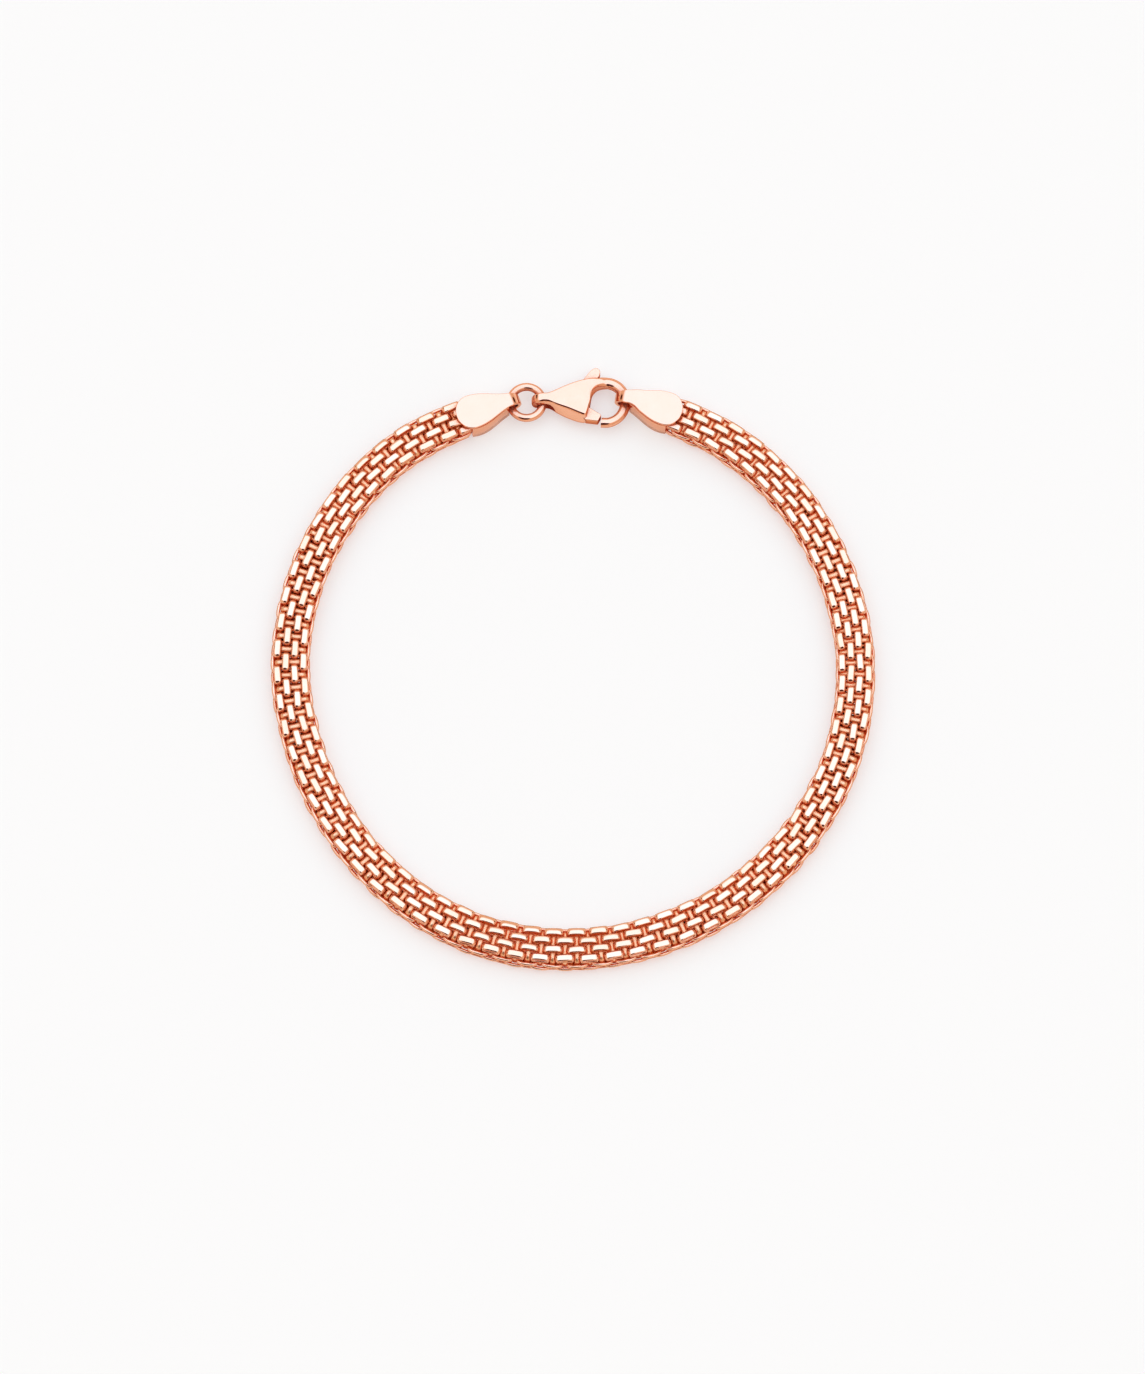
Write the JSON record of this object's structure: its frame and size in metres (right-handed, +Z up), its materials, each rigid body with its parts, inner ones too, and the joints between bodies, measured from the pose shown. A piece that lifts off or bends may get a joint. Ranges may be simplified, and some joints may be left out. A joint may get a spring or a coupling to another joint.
{
  "type": "bismarck chain bracelet",
  "caption": "Closed bracelet of linked rings in a flattened band, with end caps, a jump ring and a lobster clasp, lying flat.",
  "frame": {"origin": "on the surface that the bracelet lies on, under the middle of its outline", "axes": "+Z up from the surface, +Y from the middle of the loop towards the clasp, +X from the jump ring towards the hook"},
  "size_m": [0.0604, 0.0624, 0.003],
  "materials": {
    "chain_gold": "polished rose gold",
    "cap_gold": "polished rose gold",
    "clasp_gold": "polished rose gold"
  },
  "bodies": {
    "bracelet": {"chain": "chain_gold", "cap_left": "cap_gold", "cap_right": "cap_gold", "jump_ring": "clasp_gold", "clasp_body": "clasp_gold"},
    "lever": {"clasp_lever": "clasp_gold"}
  },
  "joints": [
    {"name": "lever_pivot", "type": "hinge", "parent": "bracelet", "child": "lever", "pos_m": [0.00027, 0.02751, 0.00125], "axis": [0, 0, 1], "range_deg": [0, 25], "stiffness_Nm_per_rad": 0.001, "springref_deg": -20.05}
  ]
}
